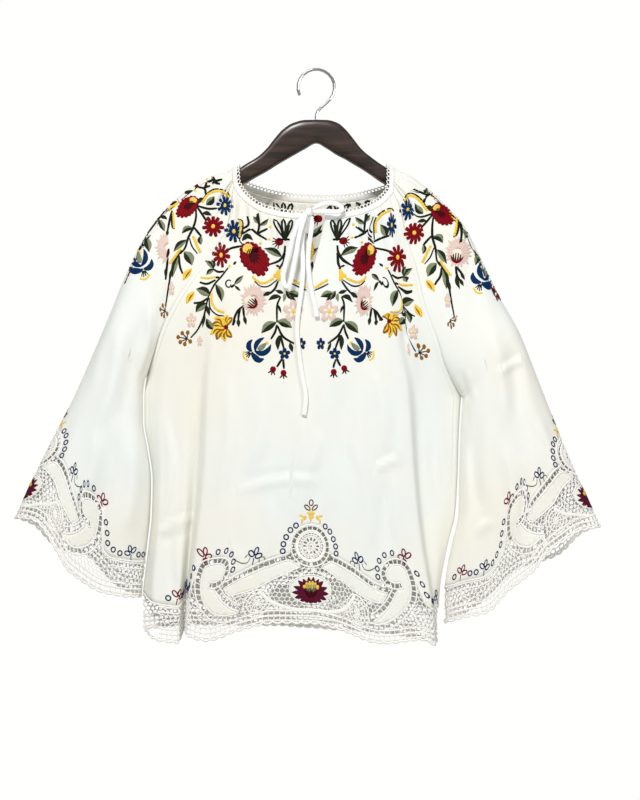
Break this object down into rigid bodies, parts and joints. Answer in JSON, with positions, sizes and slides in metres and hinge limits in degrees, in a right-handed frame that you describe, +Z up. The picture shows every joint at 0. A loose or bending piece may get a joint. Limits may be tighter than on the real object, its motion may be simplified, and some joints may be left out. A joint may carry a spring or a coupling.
{
  "type": "blouse on a hanger",
  "caption": "White raglan peasant blouse with wide bell sleeves, a gathered tie neck, floral embroidery and cutwork lace borders, hung on a wooden hanger.",
  "frame": {"origin": "inside top of the hanger's hook, where a rod carries it", "axes": "+Z up, the blouse's front faces -Y, +X to the right as seen from the front"},
  "size_m": [0.7678, 0.1103, 0.7538],
  "materials": {
    "cotton": "plain woven white cotton, matt",
    "lace": "white cotton thread lace and fine tape",
    "binding": "folded white cotton bias strip",
    "wood": "dark stained, satin lacquer",
    "steel": "polished wire"
  },
  "bodies": {
    "root": {"front_panel": "cotton", "back_panel": "cotton", "sleeve_left": "cotton", "sleeve_right": "cotton", "hem_lace_front": "lace", "hem_lace_back": "lace", "cuff_lace_left_front": "lace", "cuff_lace_left_back": "lace", "cuff_lace_right_front": "lace", "cuff_lace_right_back": "lace", "neck_binding": "binding", "neck_edging": "lace", "tie_knot": "binding", "tie_left_loop": "binding", "tie_right_loop": "binding", "tie_long_end": "binding", "tie_short_end": "binding", "hanger_bar": "wood", "hanger_hook": "steel"}
  },
  "joints": []
}
